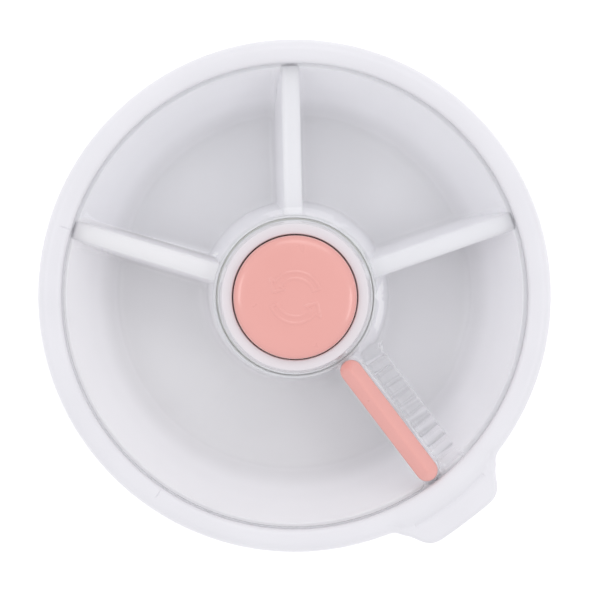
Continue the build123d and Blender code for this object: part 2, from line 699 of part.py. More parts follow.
with BuildPart() as button_stem:
    revolved_profile(
        [
            (STEM_BORE_R, STEM_Z),
            (STEM_R, STEM_Z),
            (STEM_R, STEM_FLANGE_Z),
            (STEM_FLANGE_R, STEM_FLANGE_Z),
            (STEM_FLANGE_R, STEM_FLANGE_Z + STEM_FLANGE_H),
            (STEM_SCREW_R, STEM_FLANGE_Z + STEM_FLANGE_H),
            (STEM_SCREW_R, STEM_SCREW_SEAT_Z),
            (STEM_BORE_R, STEM_SCREW_SEAT_Z),
        ]
    )
    with BuildSketch(Plane.XY.offset(DOG_TOP_Z - DOG_H)):
        with PolarLocations((STEM_R - DOG_ROOT + DOG_R) / 2, STATIONS, TAB_ANGLE):
            Rectangle(DOG_R - STEM_R + DOG_ROOT, DOG_W)
    extrude(amount=DOG_H)
finish(button_stem, "button_stem")

with BuildPart() as stem_screw:
    with BuildSketch(Plane.XY.offset(STEM_SCREW_SEAT_Z - STEM_SCREW_HEAD_H)):
        Circle(STEM_SCREW_HEAD_R)
    extrude(amount=STEM_SCREW_HEAD_H)
    with BuildSketch(Plane.XY.offset(STEM_SCREW_SEAT_Z)):
        Circle(STEM_SCREW_R)
    extrude(amount=STEM_SCREW_TOP_Z - STEM_SCREW_SEAT_Z)
    with BuildSketch(Plane.XY.offset(STEM_SCREW_SEAT_Z - STEM_SCREW_HEAD_H)):
        Rectangle(STEM_SLOT_L, STEM_SLOT_W)
        Rectangle(STEM_SLOT_W, STEM_SLOT_L)
    extrude(amount=STEM_SLOT_DEPTH, mode=Mode.SUBTRACT)
finish(stem_screw, "stem_screw")

SPRING_Z = HOUSING_Z + HOUSING_FLOOR_H
SPRING_RISE = STEM_FLANGE_Z - SPRING_Z - 2 * SPRING_WIRE_R
with BuildPart() as button_spring:
    with BuildLine() as coil:
        Helix(SPRING_RISE / SPRING_TURNS, SPRING_RISE, SPRING_R, center=(0, 0, SPRING_Z + SPRING_WIRE_R))
    with BuildSketch(Plane(origin=coil.line @ 0, z_dir=coil.line % 0)):
        Circle(SPRING_WIRE_R)
    sweep()
finish(button_spring, "button_spring")

# ---------------------------------------------------------------- spindle
with BuildPart() as spindle:
    with BuildSketch(Plane.XY.offset(SPINDLE_Z)):
        RegularPolygon(SPINDLE_KEY_R, STATIONS, rotation=TAB_ANGLE)
    extrude(amount=SPINDLE_FLANGE_Z - SPINDLE_Z)
    with BuildSketch(Plane.XY.offset(SPINDLE_FLANGE_Z)):
        Circle(SPINDLE_FLANGE_R)
    extrude(amount=SPINDLE_FLANGE_H)
    with BuildSketch(Plane.XY.offset(SPINDLE_FLANGE_Z + SPINDLE_FLANGE_H)):
        Circle(SPINDLE_NECK_R)
    extrude(amount=SPINDLE_TOP_Z - SPINDLE_FLANGE_Z - SPINDLE_FLANGE_H)
    with BuildSketch(Plane.XY.offset(CLIP_Z)):
        Circle(SPINDLE_NECK_R)
        Circle(CLIP_SEAT_R, mode=Mode.SUBTRACT)
    extrude(amount=CLIP_H, mode=Mode.SUBTRACT)
    with BuildSketch(Plane.XY.offset(SPINDLE_Z)):
        Circle(SPINDLE_BORE_R)
    extrude(amount=SPINDLE_TOP_Z - SPINDLE_Z, mode=Mode.SUBTRACT)
    with BuildSketch(Plane.XY.offset(SPINDLE_Z)):
        Circle(SPINDLE_CHAMBER_R)
    extrude(amount=SPINDLE_CHAMBER_TOP_Z - SPINDLE_Z, mode=Mode.SUBTRACT)
finish(spindle, "spindle")

with BuildPart() as index_crown:
    tube(CROWN_BORE_R, SPINDLE_CHAMBER_R, CROWN_Z, SPINDLE_CHAMBER_TOP_Z)
    with BuildSketch(Plane.XY.offset(CROWN_Z)):
        with PolarLocations(SPINDLE_CHAMBER_R / 2, STATIONS, TAB_ANGLE):
            Rectangle(NOTCH_LENGTH, NOTCH_W)
    extrude(amount=NOTCH_DEPTH, mode=Mode.SUBTRACT)
finish(index_crown, "index_crown")

with BuildPart() as foot_plug:
    with BuildSketch(Plane.XY.offset(SPINDLE_Z)):
        Circle(SPINDLE_CHAMBER_R)
    extrude(amount=PLUG_H)
finish(foot_plug, "foot_plug")

with BuildPart() as thrust_washer:
    WASHER_Z = SPINDLE_FLANGE_Z + SPINDLE_FLANGE_H
    tube(SPINDLE_NECK_R, WASHER_R, WASHER_Z, WASHER_Z + WASHER_H)
finish(thrust_washer, "thrust_washer")

with BuildPart() as retaining_clip:
    tube(CLIP_SEAT_R, CLIP_R, CLIP_Z, CLIP_Z + CLIP_H)
    with BuildSketch(Plane.XY.offset(CLIP_Z)):
        with Locations((0, CLIP_R)):
            Rectangle(CLIP_GAP_W, 2 * CLIP_R - CLIP_GAP_W)
    extrude(amount=CLIP_H, mode=Mode.SUBTRACT)
finish(retaining_clip, "retaining_clip")
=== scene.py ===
import json
from math import asin, cos, degrees, hypot, pi, radians, sin, sqrt

import bmesh
import bpy
from mathutils import Matrix, Vector

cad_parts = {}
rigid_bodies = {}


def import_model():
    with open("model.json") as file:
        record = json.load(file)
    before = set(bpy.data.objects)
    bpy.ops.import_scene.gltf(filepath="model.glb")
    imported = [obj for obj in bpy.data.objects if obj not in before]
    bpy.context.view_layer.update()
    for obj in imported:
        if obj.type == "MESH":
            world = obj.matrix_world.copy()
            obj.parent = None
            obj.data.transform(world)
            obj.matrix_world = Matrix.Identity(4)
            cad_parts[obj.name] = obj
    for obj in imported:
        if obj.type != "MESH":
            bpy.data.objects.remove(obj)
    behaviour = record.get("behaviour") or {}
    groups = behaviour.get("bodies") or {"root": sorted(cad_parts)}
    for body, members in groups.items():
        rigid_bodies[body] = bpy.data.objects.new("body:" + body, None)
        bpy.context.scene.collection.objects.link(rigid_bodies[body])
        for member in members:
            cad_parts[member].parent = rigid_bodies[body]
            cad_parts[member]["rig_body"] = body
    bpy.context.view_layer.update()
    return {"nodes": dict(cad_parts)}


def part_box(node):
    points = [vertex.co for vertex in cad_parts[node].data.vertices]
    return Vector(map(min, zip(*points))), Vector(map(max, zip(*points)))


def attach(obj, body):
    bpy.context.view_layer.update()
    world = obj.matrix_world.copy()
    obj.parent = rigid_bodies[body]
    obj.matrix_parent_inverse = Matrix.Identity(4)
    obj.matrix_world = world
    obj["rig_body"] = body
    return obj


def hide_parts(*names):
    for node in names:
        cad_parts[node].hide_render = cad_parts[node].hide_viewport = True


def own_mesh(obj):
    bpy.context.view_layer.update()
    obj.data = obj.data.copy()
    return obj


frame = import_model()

# Rotary compartment dispenser. Profiles are in millimetres, in the row's frame: +Z up, the tab and the
# handle bar along -Y. Meshes are written in metres. Angles are in degrees.
MM = 0.001
TAB_ANGLE = -90
STATION_PITCH = 72
TOUCH_GAP = 0.03
DIVIDER_ANGLES = [TAB_ANGLE + STATION_PITCH * k for k in range(4)]


def box_mm(node):
    low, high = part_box(node)
    return low / MM, high / MM


ring_low, ring_high = box_mm("lid_ring")
case_low, case_high = box_mm("outer_case")
tray_low, tray_high = box_mm("compartment_tray")
button_low, button_high = box_mm("push_button")
bar_low, bar_high = box_mm("handle_bar")
spring_low, spring_high = box_mm("button_spring")
pad_high = box_mm("non_slip_pad")[1]


# ---------------------------------------------------------------- curves and meshes
MERGE_DISTANCE = 0.0005
SLIVER_LENGTH = 0.0002
FLAT_ANGLE = 0.4
CORNER_ANGLE = 30
FLAT_WEIGHT = 90


def bezier(a, b, c, d, steps):
    """Points along a cubic curve, the first one left out."""
    points = []
    for i in range(1, steps + 1):
        t = i / steps
        weights = ((1 - t) ** 3, 3 * t * (1 - t) ** 2, 3 * t * t * (1 - t), t**3)
        points.append(tuple(sum(w * p[k] for w, p in zip(weights, (a, b, c, d))) for k in (0, 1)))
    return points


def rounded(corners, steps=5):
    """Closed outline through (x, y, radius) corners, each rounded by an arc of its radius."""
    points = []
    count = len(corners)
    for i, (x, y, radius) in enumerate(corners):
        here = Vector((x, y))
        if radius <= 0:
            points.append((x, y))
            continue
        before = (Vector(corners[i - 1][:2]) - here).normalized()
        after = (Vector(corners[(i + 1) % count][:2]) - here).normalized()
        half = before.angle(after) / 2
        reach = radius / sin(half) * cos(half)
        centre = here + (before + after).normalized() * radius / sin(half)
        start = here + before * reach - centre
        turn = start.angle_signed(here + after * reach - centre)
        for k in range(steps + 1):
            spoke = start.copy()
            spoke.rotate(Matrix.Rotation(-turn * k / steps, 2))
            points.append(tuple(centre + spoke))
    return points


def new_piece(name, bm, body, material, sharp=40):
    """Makes an object of a bmesh built in millimetres, smooth apart from edges sharper than an angle."""
    bmesh.ops.remove_doubles(bm, verts=bm.verts, dist=MERGE_DISTANCE)
    bmesh.ops.dissolve_degenerate(bm, edges=bm.edges, dist=SLIVER_LENGTH)
    bmesh.ops.scale(bm, vec=(MM, MM, MM), verts=bm.verts)
    bmesh.ops.recalc_face_normals(bm, faces=bm.faces)
    mesh = bpy.data.meshes.new(name)
    bm.to_mesh(mesh)
    bm.free()
    mesh.shade_smooth()
    mesh.set_sharp_from_angle(angle=radians(sharp))
    mesh.materials.append(material)
    piece = bpy.data.objects.new(name, mesh)
    bpy.context.scene.collection.objects.link(piece)
    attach(piece, body)
    return piece


def add_grid(bm, columns, close_across=True, close_along=True):
    """Adds quads between columns of points. close_across joins the last column to the first, and close_along
    joins each column's last point to its first."""
    rows = [[bm.verts.new(point) for point in column] for column in columns]
    across = len(rows) if close_across else len(rows) - 1
    along = len(rows[0]) if close_along else len(rows[0]) - 1
    for i in range(across):
        left, right = rows[i], rows[(i + 1) % len(rows)]
        for k in range(along):
            n = (k + 1) % len(left)
            bm.faces.new((left[k], right[k], right[n], left[n]))
    return rows


def turned(angle, section):
    """A section of (radius, height) points, placed at an angle in degrees about Z."""
    c, s = cos(radians(angle)), sin(radians(angle))
    return [(r * c, r * s, z) for r, z in section]


def revolved(name, section, body, material, turns=240, closed=True, sharp=40):
    bm = bmesh.new()
    add_grid(bm, [turned(360 * i / turns, section) for i in range(turns)], close_along=closed)
    return new_piece(name, bm, body, material, sharp)


def keep_flats_flat(piece):
    """Weighs a mesh's normals by face area, so that an edge's rounding doesn't tilt the flats beside it."""
    weigher = piece.modifiers.new("weighted", "WEIGHTED_NORMAL")
    weigher.mode = "FACE_AREA"
    weigher.weight = FLAT_WEIGHT
    weigher.keep_sharp = True
    weighed = piece.evaluated_get(bpy.context.evaluated_depsgraph_get())
    piece.data = bpy.data.meshes.new_from_object(weighed)
    piece.modifiers.clear()


def softened(node, material, edge):
    """Makes a copy of a CAD node with its sharp edges rounded, to stand for it."""
    bm = bmesh.new()
    bm.from_mesh(frame["nodes"][node].data)
    bmesh.ops.scale(bm, vec=(1 / MM, 1 / MM, 1 / MM), verts=bm.verts)
    bmesh.ops.remove_doubles(bm, verts=bm.verts, dist=MERGE_DISTANCE)
    bmesh.ops.dissolve_limit(bm, angle_limit=radians(FLAT_ANGLE), verts=bm.verts, edges=bm.edges)
    corners = [e for e in bm.edges if len(e.link_faces) == 2 and e.calc_face_angle(0) > radians(CORNER_ANGLE)]
    bmesh.ops.bevel(
        bm,
        geom=corners,
        offset=edge,
        offset_type="OFFSET",
        segments=2,
        profile=0.5,
        affect="EDGES",
        clamp_overlap=True,
    )
    bmesh.ops.triangulate(bm, faces=[f for f in bm.faces if len(f.verts) > 4])
    body = frame["nodes"][node]["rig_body"]
    piece = new_piece(node + "_detailed", bm, body, material, sharp=50)
    keep_flats_flat(piece)
    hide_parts(node)


def smooth_max(a, b, blend):
    h = max(blend - abs(a - b), 0) / blend
    return max(a, b) + h * h * blend / 4


def smooth_min(a, b, blend):
    return -smooth_max(-a, -b, blend)


def smooth_step(x):
    x = min(max(x, 0), 1)
    return x * x * (3 - 2 * x)


# ---------------------------------------------------------------- materials
PLASTIC_IOR = 1.5


def material_base(name):
    material = bpy.data.materials.new(name)
    material.use_nodes = True
    tree = material.node_tree
    shader = tree.nodes["Principled BSDF"]
    place = tree.nodes.new("ShaderNodeTexCoord").outputs["Object"]
    return material, tree, shader, place


def noise(tree, place, scale, detail=3.0, roughness=0.5, stretch=None):
    """A noise pattern's value, about 1 / scale metres across, stretched along an axis if asked."""
    if stretch:
        mapping = tree.nodes.new("ShaderNodeMapping")
        mapping.inputs["Scale"].default_value = stretch
        tree.links.new(place, mapping.inputs["Vector"])
        place = mapping.outputs["Vector"]
    node = tree.nodes.new("ShaderNodeTexNoise")
    node.inputs["Scale"].default_value = scale
    node.inputs["Detail"].default_value = detail
    node.inputs["Roughness"].default_value = roughness
    tree.links.new(place, node.inputs["Vector"])
    return node.outputs["Fac"]


def spread(tree, value, low, high, start=0.3, end=0.7):
    """Maps a pattern from start..end to low..high."""
    node = tree.nodes.new("ShaderNodeMapRange")
    node.inputs["From Min"].default_value = start
    node.inputs["From Max"].default_value = end
    node.inputs["To Min"].default_value = low
    node.inputs["To Max"].default_value = high
    tree.links.new(value, node.inputs["Value"])
    return node.outputs["Result"]


def two_colours(tree, value, first, second):
    ramp = tree.nodes.new("ShaderNodeValToRGB")
    ramp.color_ramp.elements[0].position = 0.35
    ramp.color_ramp.elements[0].color = (*first, 1)
    ramp.color_ramp.elements[1].position = 0.65
    ramp.color_ramp.elements[1].color = (*second, 1)
    tree.links.new(value, ramp.inputs["Fac"])
    return ramp.outputs["Color"]


def bump(tree, height, distance, strength, normal=None):
    node = tree.nodes.new("ShaderNodeBump")
    node.inputs["Distance"].default_value = distance
    node.inputs["Strength"].default_value = strength
    tree.links.new(height, node.inputs["Height"])
    if normal:
        tree.links.new(normal, node.inputs["Normal"])
    return node.outputs["Normal"]


def moulded_plastic(name, colour, shade, roughness, coat=0.0):
    """Moulded plastic: a faint cloudiness in colour and gloss, and a fine moulded grain."""
    material, tree, shader, place = material_base(name)
    cloud = noise(tree, place, 35, detail=2)
    tree.links.new(two_colours(tree, cloud, shade, colour), shader.inputs["Base Color"])
    flow = noise(tree, place, 120, detail=4, stretch=(1, 1, 0.35))
    tree.links.new(spread(tree, flow, roughness - 0.05, roughness + 0.05), shader.inputs["Roughness"])
    waves = bump(tree, noise(tree, place, 220, detail=1), 0.00006, 0.25)
    fine = bump(tree, noise(tree, place, 2600, detail=2), 0.00002, 0.3, waves)
    tree.links.new(fine, shader.inputs["Normal"])
    shader.inputs["IOR"].default_value = PLASTIC_IOR
    shader.inputs["Coat Weight"].default_value = coat
    shader.inputs["Coat Roughness"].default_value = 0.12
    return material


def painted_light_by_height(material, low, high, stops):
    """Paints light and shade into a material's colour by height: painted shade at the floor of the bowl and
    along the tops of the walls, painted light up the bowl's walls. stops are (share of the way from low to
    high, tint)."""
    tree = material.node_tree
    shader = tree.nodes["Principled BSDF"]
    plain = shader.inputs["Base Color"].links[0].from_socket
    parts = tree.nodes.new("ShaderNodeSeparateXYZ")
    tree.links.new(tree.nodes["Texture Coordinate"].outputs["Object"], parts.inputs["Vector"])
    mix = tree.nodes.new("ShaderNodeMix")
    mix.data_type = "RGBA"
    mix.blend_type = "MULTIPLY"
    mix.inputs["Factor"].default_value = 1.0
    ramp = tree.nodes.new("ShaderNodeValToRGB")
    ramp.color_ramp.interpolation = "EASE"
    for _ in stops[2:]:
        ramp.color_ramp.elements.new(0.5)
    # Each stop's tint is painted light or shade, not the plastic's own colour.
    for element, (share, tint) in zip(ramp.color_ramp.elements, stops):
        element.position = share
        element.color = (tint, tint, tint, 1)
    tree.links.new(spread(tree, parts.outputs["Z"], 0.0, 1.0, low * MM, high * MM), ramp.inputs["Fac"])
    colours = [socket for socket in mix.inputs if socket.type == "RGBA"]
    tree.links.new(plain, colours[0])
    tree.links.new(ramp.outputs["Color"], colours[1])
    result = next(socket for socket in mix.outputs if socket.type == "RGBA")
    tree.links.new(result, shader.inputs["Base Color"])


def clear_plastic(name, tint, roughness):
    """Clear moulded plastic that lets lamps through, with faint hairlines and a slight ripple."""
    material, tree, shader, place = material_base(name)
    hairlines = noise(tree, place, 500, detail=5, roughness=0.7, stretch=(1, 0.03, 1))
    gloss = spread(tree, hairlines, roughness, roughness + 0.06, start=0.55, end=0.75)
    tree.links.new(gloss, shader.inputs["Roughness"])
    ripple = bump(tree, noise(tree, place, 45, detail=1), 0.0001, 0.12)
    tree.links.new(ripple, shader.inputs["Normal"])
    cloud = noise(tree, place, 30, detail=1)
    tree.links.new(two_colours(tree, cloud, tint, (0.985, 0.99, 1.0)), shader.inputs["Base Color"])
    shader.inputs["IOR"].default_value = PLASTIC_IOR
    shader.inputs["Transmission Weight"].default_value = 1.0
    open_way = tree.nodes.new("ShaderNodeBsdfTransparent")
    open_way.inputs["Color"].default_value = (0.995, 0.996, 0.998, 1)
    path = tree.nodes.new("ShaderNodeLightPath")
    shown = shader.outputs["BSDF"]
    for kind in ("Is Shadow Ray", "Is Diffuse Ray"):
        mix = tree.nodes.new("ShaderNodeMixShader")
        tree.links.new(path.outputs[kind], mix.inputs["Fac"])
        tree.links.new(shown, mix.inputs[1])
        tree.links.new(open_way.outputs["BSDF"], mix.inputs[2])
        shown = mix.outputs["Shader"]
    tree.links.new(shown, tree.nodes["Material Output"].inputs["Surface"])
    return material


def silicone(name, colour, shade):
    material, tree, shader, place = material_base(name)
    tree.links.new(two_colours(tree, noise(tree, place, 60), shade, colour), shader.inputs["Base Color"])
    dust = noise(tree, place, 900, detail=4)
    tree.links.new(spread(tree, dust, 0.5, 0.68), shader.inputs["Roughness"])
    tree.links.new(bump(tree, noise(tree, place, 1800), 0.00003, 0.5), shader.inputs["Normal"])
    shader.inputs["Sheen Weight"].default_value = 0.15
    return material


def steel(name):
    material, tree, shader, place = material_base(name)
    brushed = noise(tree, place, 1500, detail=4, stretch=(1, 1, 0.04))
    greys = two_colours(tree, brushed, (0.5, 0.5, 0.51), (0.66, 0.66, 0.67))
    tree.links.new(greys, shader.inputs["Base Color"])
    tree.links.new(spread(tree, brushed, 0.22, 0.38), shader.inputs["Roughness"])
    tree.links.new(bump(tree, brushed, 0.00001, 0.4), shader.inputs["Normal"])
    shader.inputs["Metallic"].default_value = 1.0
    return material


SHELL = moulded_plastic("shell_white_satin", (0.76, 0.75, 0.785), (0.74, 0.73, 0.765), 0.36)
TRAY = moulded_plastic("tray_white_smooth", (0.95, 0.94, 0.965), (0.935, 0.925, 0.95), 0.33)
# Painted shade on the tray's floor and on top of its walls, painted light up its walls, laid on by height.
TRAY_PAINTED_LIGHT = [(0.02, 0.76), (0.05, 0.81), (0.35, 0.93), (0.6, 0.955), (0.92, 0.965), (1.0, 0.82)]
PAINTED_LIGHT_LOW, PAINTED_LIGHT_HIGH = 8.0, 38.8
painted_light_by_height(TRAY, PAINTED_LIGHT_LOW, PAINTED_LIGHT_HIGH, TRAY_PAINTED_LIGHT)
COLLAR = moulded_plastic("collar_white_satin", (0.74, 0.705, 0.735), (0.72, 0.685, 0.715), 0.35)
CORAL = moulded_plastic("coral_satin", (0.78, 0.36, 0.325), (0.76, 0.345, 0.31), 0.32, coat=0.8)
INNER = moulded_plastic("natural_acetal", (0.74, 0.74, 0.70), (0.71, 0.71, 0.67), 0.45)
CLEAR = clear_plastic("clear_styrene", (0.98, 0.985, 0.995), 0.015)
SILICONE = silicone("white_silicone", (0.78, 0.78, 0.79), (0.75, 0.75, 0.765))
STEEL = steel("stainless_wire")

# ---------------------------------------------------------------- camera, floor and light
PHOTO_UP = 52.8
SENSOR_WIDTH = 36
CAMERA_DISTANCE = 1.0
CAMERA_TILT = 2.5
TILT_AZIMUTH = PHOTO_UP + 22
FRAME_WIDTH = 0.2043
AIM_HEIGHT = 0.043
AIM_SHIFT_RIGHT = 0.0017
AIM_SHIFT_UP = -0.0011
FLOOR_HALF_WIDTH = 2.5
FLOOR_GLOW = 0.22
LAMP_ELEVATION = 50
LAMP_DISTANCE = 1.5
HORIZON_LIGHT, OVERHEAD_LIGHT = 1.03, 0.91


def level(angle):
    return Vector((cos(radians(angle)), sin(radians(angle)), 0))


photo_up, photo_right = level(PHOTO_UP), level(PHOTO_UP - 90)
back = level(TILT_AZIMUTH) * sin(radians(CAMERA_TILT)) + Vector((0, 0, cos(radians(CAMERA_TILT))))
side = photo_up.cross(back).normalized()
aim = Vector((0, 0, AIM_HEIGHT)) + photo_right * AIM_SHIFT_RIGHT + photo_up * AIM_SHIFT_UP
camera_data = bpy.data.cameras.new("camera")
camera_data.sensor_width = SENSOR_WIDTH
camera_data.lens = SENSOR_WIDTH * CAMERA_DISTANCE / FRAME_WIDTH
camera_data.clip_start = 0.01
camera = bpy.data.objects.new("camera", camera_data)
turn = Matrix((side, back.cross(side), back)).transposed()
camera.matrix_world = Matrix.Translation(aim + back * CAMERA_DISTANCE) @ turn.to_4x4()
bpy.context.scene.collection.objects.link(camera)
bpy.context.scene.camera = camera


def floor_material():
    material, tree, shader, place = material_base("pale_floor")
    greys = two_colours(tree, noise(tree, place, 3), (0.90, 0.90, 0.90), (0.91, 0.91, 0.91))
    tree.links.new(greys, shader.inputs["Base Color"])
    shader.inputs["Roughness"].default_value = 0.8
    shader.inputs["Specular IOR Level"].default_value = 0.1
    shader.inputs["Emission Color"].default_value = (1, 1, 1, 1)
    shader.inputs["Emission Strength"].default_value = FLOOR_GLOW
    return material


def add_floor():
    bm = bmesh.new()
    bmesh.ops.create_grid(bm, x_segments=4, y_segments=4, size=FLOOR_HALF_WIDTH)
    mesh = bpy.data.meshes.new("floor")
    bm.to_mesh(mesh)
    bm.free()
    mesh.materials.append(floor_material())
    floor = bpy.data.objects.new("floor", mesh)
    bpy.context.scene.collection.objects.link(floor)


def add_softbox(name, azimuth, size, power):
    """A rectangular lamp that faces the object from a compass direction."""
    data = bpy.data.lights.new(name, "AREA")
    data.shape = "RECTANGLE"
    data.size, data.size_y = size
    data.energy = power
    lamp = bpy.data.objects.new(name, data)
    rise = radians(LAMP_ELEVATION)
    direction = level(azimuth) * cos(rise) + Vector((0, 0, sin(rise)))
    lamp.location = direction * LAMP_DISTANCE
    lamp.rotation_euler = direction.to_track_quat("Z", "Y").to_euler()
    bpy.context.scene.collection.objects.link(lamp)


def add_world():
    """Soft studio surroundings, a little brighter at the horizon than overhead."""
    world = bpy.data.worlds.new("studio")
    world.use_nodes = True
    tree = world.node_tree
    direction = tree.nodes.new("ShaderNodeTexCoord")
    parts = tree.nodes.new("ShaderNodeSeparateXYZ")
    tree.links.new(direction.outputs["Generated"], parts.inputs["Vector"])
    background = tree.nodes["Background"]
    strength = spread(tree, parts.outputs["Z"], HORIZON_LIGHT, OVERHEAD_LIGHT, start=0.0, end=1.0)
    tree.links.new(strength, background.inputs["Strength"])
    background.inputs["Color"].default_value = (0.98, 0.985, 1.0, 1)
    bpy.context.scene.world = world


add_floor()
add_softbox("key", PHOTO_UP - 10, size=(1.0, 0.5), power=2.2)
add_softbox("right", PHOTO_UP - 100, size=(0.5, 0.35), power=1.5)
add_softbox("left", PHOTO_UP + 85, size=(0.5, 0.35), power=1.5)
add_world()
bpy.context.scene.view_settings.view_transform = "Standard"

# ---------------------------------------------------------------- case and pad
CASE_FLOOR_R = 62.0
PAD_TOP = pad_high.z
PAD_R = pad_high.x
CASE_R = case_high.x
CASE_TOP = case_high.z
CASE_FLOOR_THICKNESS = 2.2
CASE_MOUTH_R = 82.4
CASE_LEDGE = 36.0
CASE_LEDGE_R = 79.8
PAD_GROOVES = (42.0, 32.0, 22.0)
PAD_GROOVE_DEPTH = 0.5
SEAL_WIDTHS = {"lid_seal": 2.0, "hub_seal": 2.05}


def make_case():
    """The bowl: foot ring, curved wall, a ledge for the tray and a rounded rim."""
    foot = case_low.z
    inner_floor = PAD_TOP + CASE_FLOOR_THICKNESS
    section = [(0, PAD_TOP), (PAD_R + 0.1, PAD_TOP), (PAD_R + 0.3, PAD_TOP - 0.2), (PAD_R + 0.3, foot + 0.3)]
    section += [(PAD_R + 0.6, foot), (CASE_FLOOR_R, foot)]
    section += bezier((CASE_FLOOR_R, foot), (79.2, 2.0), (83.9, 17.0), (CASE_R, 36.0), 26)
    section += [(CASE_R, CASE_TOP - 0.7), (CASE_R - 0.2, CASE_TOP - 0.2), (CASE_R - 0.7, CASE_TOP)]
    mouth, ledge, wall_top = CASE_MOUTH_R, CASE_LEDGE_R, (82.0, 31.8)
    section += [(mouth + 0.7, CASE_TOP), (mouth + 0.2, CASE_TOP - 0.2), (mouth, CASE_TOP - 0.7)]
    section += [(mouth, CASE_LEDGE + 0.2), (mouth - 0.2, CASE_LEDGE), (ledge + 0.2, CASE_LEDGE)]
    section += [(ledge, CASE_LEDGE - 0.2), (ledge, 34.6), (ledge + 0.2, 34.2), (81.9, 32.2), wall_top]
    section += bezier(wall_top, (81.2, 18.0), (76.0, inner_floor), (CASE_FLOOR_R + 1, inner_floor), 24)
    section += [(0, inner_floor)]
    case = revolved("outer_case_shell", section, "base", SHELL, turns=288, closed=False)
    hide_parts("outer_case")


def make_pad():
    """The pad: a disc with a rounded edge and three grooves in its face."""
    section = [(0, PAD_TOP), (PAD_R - 0.2, PAD_TOP), (PAD_R, PAD_TOP - 0.2), (PAD_R, 0.5)]
    section += [(PAD_R - 0.15, 0.15), (PAD_R - 0.5, 0.0)]
    for groove in PAD_GROOVES:
        section += [(groove + 1.1, 0), (groove + 0.95, 0.1)]
        section += [(groove + 0.8, PAD_GROOVE_DEPTH), (groove + 0.2, PAD_GROOVE_DEPTH)]
        section += [(groove + 0.05, 0.1), (groove - 0.1, 0)]
    section += [(0, 0)]
    pad = revolved("non_slip_pad_disc", section, "base", SILICONE, turns=200, closed=False)
    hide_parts("non_slip_pad")


def make_seal(node, body):
    """A seal ring with round corners, a hair below the face it is pressed against."""
    low, high = box_mm(node)
    outer_r, inner_r = high.x, high.x - SEAL_WIDTHS[node]
    corners = [(inner_r, low.z, 0.35), (outer_r, low.z, 0.35), (outer_r, high.z - TOUCH_GAP, 0.12)]
    corners += [(inner_r, high.z - TOUCH_GAP, 0.12)]
    seal = revolved(node + "_ring", rounded(corners), body, SILICONE)
    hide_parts(node)


# ---------------------------------------------------------------- compartment tray
HUB_TOP_R = 27.2
HUB_FOOT_R = 30.5
HUB_BORE_R = 25.6
TRAY_FLOOR_R = 61.0
TRAY_UNDER_R = 61.5
TRAY_RIM_R = 77.8
TRAY_WALL = 1.6
TRAY_FLOOR = tray_low.z + TRAY_WALL
TRAY_TOP = tray_high.z
TRAY_RIM = 37.4
TRAY_FLANGE_R = tray_high.x
FLANGE_UNDER = 36.0
DIVIDER_HALF = 3.2
DIVIDER_CROWN = 1.8
CROWN_POWER = 2.2
STEEP_FOOT = 0.5
SLOPED_FOOT = 2.6
ROOT_ROUND = 1.8
ROOT_FADE = 3
DIVIDER_END_R = 78.6
DIVIDER_END_SLOPE = 2.4
DIVIDER_END_ROUNDING = 0.08
DIVIDER_FOOT_END_R = 79.4
CORE_START_R = HUB_FOOT_R + 2.0
CORE_END_R = 73.5
# Where the mesh's columns lie beside a divider's middle plane: close together over its edge and its foot.
DIVIDER_OFFSETS = [0, 0.5, 1.0, 1.45, 1.85, 2.2, 2.5, 2.75, 2.93, 3.06, 3.14, 3.19]
DIVIDER_OFFSETS += [3.24, 3.3, 3.4, 3.5, 3.6, 3.7, 3.85, 4.0, 4.2, 4.45, 4.7, 4.95]
DIVIDER_OFFSETS += [5.2, 5.4, 5.6, 5.8, 6.1, 6.5, 6.9, 7.3, 8.0, 9.2, 11.0, 13.6]
CREASE_ANGLE = TAB_ANGLE - STATION_PITCH
CREASE_HALF_ANGLE = 1.0
CREASE_RELIEF = 0.3
CREASE_START_R = 36
CREASE_END_R = 60
CREASE_FADE = 2
HUB_SLOPE = (HUB_FOOT_R - HUB_TOP_R) / (TRAY_TOP - TRAY_FLOOR)


